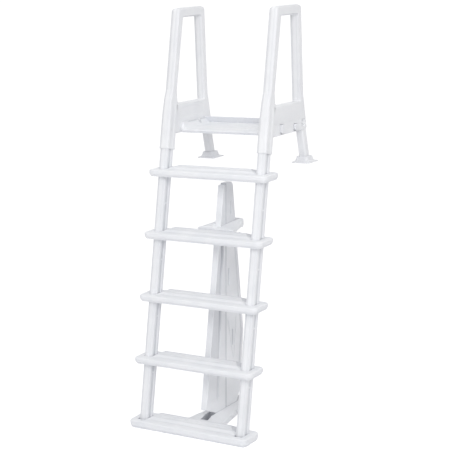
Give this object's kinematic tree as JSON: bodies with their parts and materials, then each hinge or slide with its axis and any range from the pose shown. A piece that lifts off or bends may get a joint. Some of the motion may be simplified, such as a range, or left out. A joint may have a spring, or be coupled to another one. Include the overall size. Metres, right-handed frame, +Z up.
{
  "type": "pool ladder",
  "caption": "White moulded ladder that stands in an above-ground pool, with wide treads, looped handrails, an upper platform, deck flanges and an anti-entrapment barrier board.",
  "frame": {"origin": "on the pool floor, at the middle of the ladder's outer box", "axes": "+X along the treads, +Y from the water towards the deck, +Z up"},
  "size_m": [0.67, 0.8118, 2.01],
  "materials": {
    "upright_white": "satin moulded polyethylene",
    "tread_white": "satin moulded polyethylene with a fine grain",
    "handrail_white": "satin moulded polyethylene",
    "platform_white": "satin moulded polyethylene with a fine grain",
    "barrier_white": "satin moulded polyethylene",
    "bracket_white": "satin moulded polyethylene",
    "flange_white": "satin moulded polyethylene",
    "stainless_steel": "bright stainless fasteners"
  },
  "bodies": {
    "lower_ladder": {"tread_1": "tread_white", "tread_2": "tread_white", "tread_3": "tread_white", "tread_4": "tread_white", "tread_5": "tread_white", "left_upright": "upright_white", "right_upright": "upright_white", "barrier_front_board": "barrier_white", "barrier_rear_board": "barrier_white", "upper_barrier_bracket": "bracket_white", "barrier_foot": "bracket_white", "tread_1_left_screw": "stainless_steel", "tread_1_right_screw": "stainless_steel", "tread_2_left_screw": "stainless_steel", "tread_2_right_screw": "stainless_steel", "tread_3_left_screw": "stainless_steel", "tread_3_right_screw": "stainless_steel", "tread_4_left_screw": "stainless_steel", "tread_4_right_screw": "stainless_steel", "tread_5_left_screw": "stainless_steel", "tread_5_right_screw": "stainless_steel", "left_upright_plug_1": "upright_white", "left_upright_plug_2": "upright_white", "left_upright_plug_3": "upright_white", "left_upright_plug_4": "upright_white", "right_upright_plug_1": "upright_white", "right_upright_plug_2": "upright_white", "right_upright_plug_3": "upright_white", "right_upright_plug_4": "upright_white", "upper_bracket_left_screw": "stainless_steel", "upper_bracket_right_screw": "stainless_steel", "lower_bracket_left_screw": "stainless_steel", "lower_bracket_right_screw": "stainless_steel", "barrier_upper_front_bolt": "stainless_steel", "barrier_upper_front_nut": "stainless_steel", "barrier_upper_rear_bolt": "stainless_steel", "barrier_upper_rear_nut": "stainless_steel", "barrier_lower_front_bolt": "stainless_steel", "barrier_lower_front_nut": "stainless_steel", "barrier_lower_rear_bolt": "stainless_steel", "barrier_lower_rear_nut": "stainless_steel"},
    "upper_frame": {"platform": "platform_white", "left_handrail": "handrail_white", "left_deck_leg": "handrail_white", "left_deck_flange": "flange_white", "right_handrail": "handrail_white", "right_deck_leg": "handrail_white", "right_deck_flange": "flange_white", "left_height_lock_screw": "stainless_steel", "left_leg_bolt": "stainless_steel", "left_flange_screw": "stainless_steel", "left_platform_screw": "stainless_steel", "right_height_lock_screw": "stainless_steel", "right_leg_bolt": "stainless_steel", "right_flange_screw": "stainless_steel", "right_platform_screw": "stainless_steel"}
  },
  "joints": [
    {"name": "height_slide", "type": "slide", "parent": "lower_ladder", "child": "upper_frame", "axis": [0, 0.2198, 0.9755], "range_m": [-0.075, 0.1]}
  ]
}
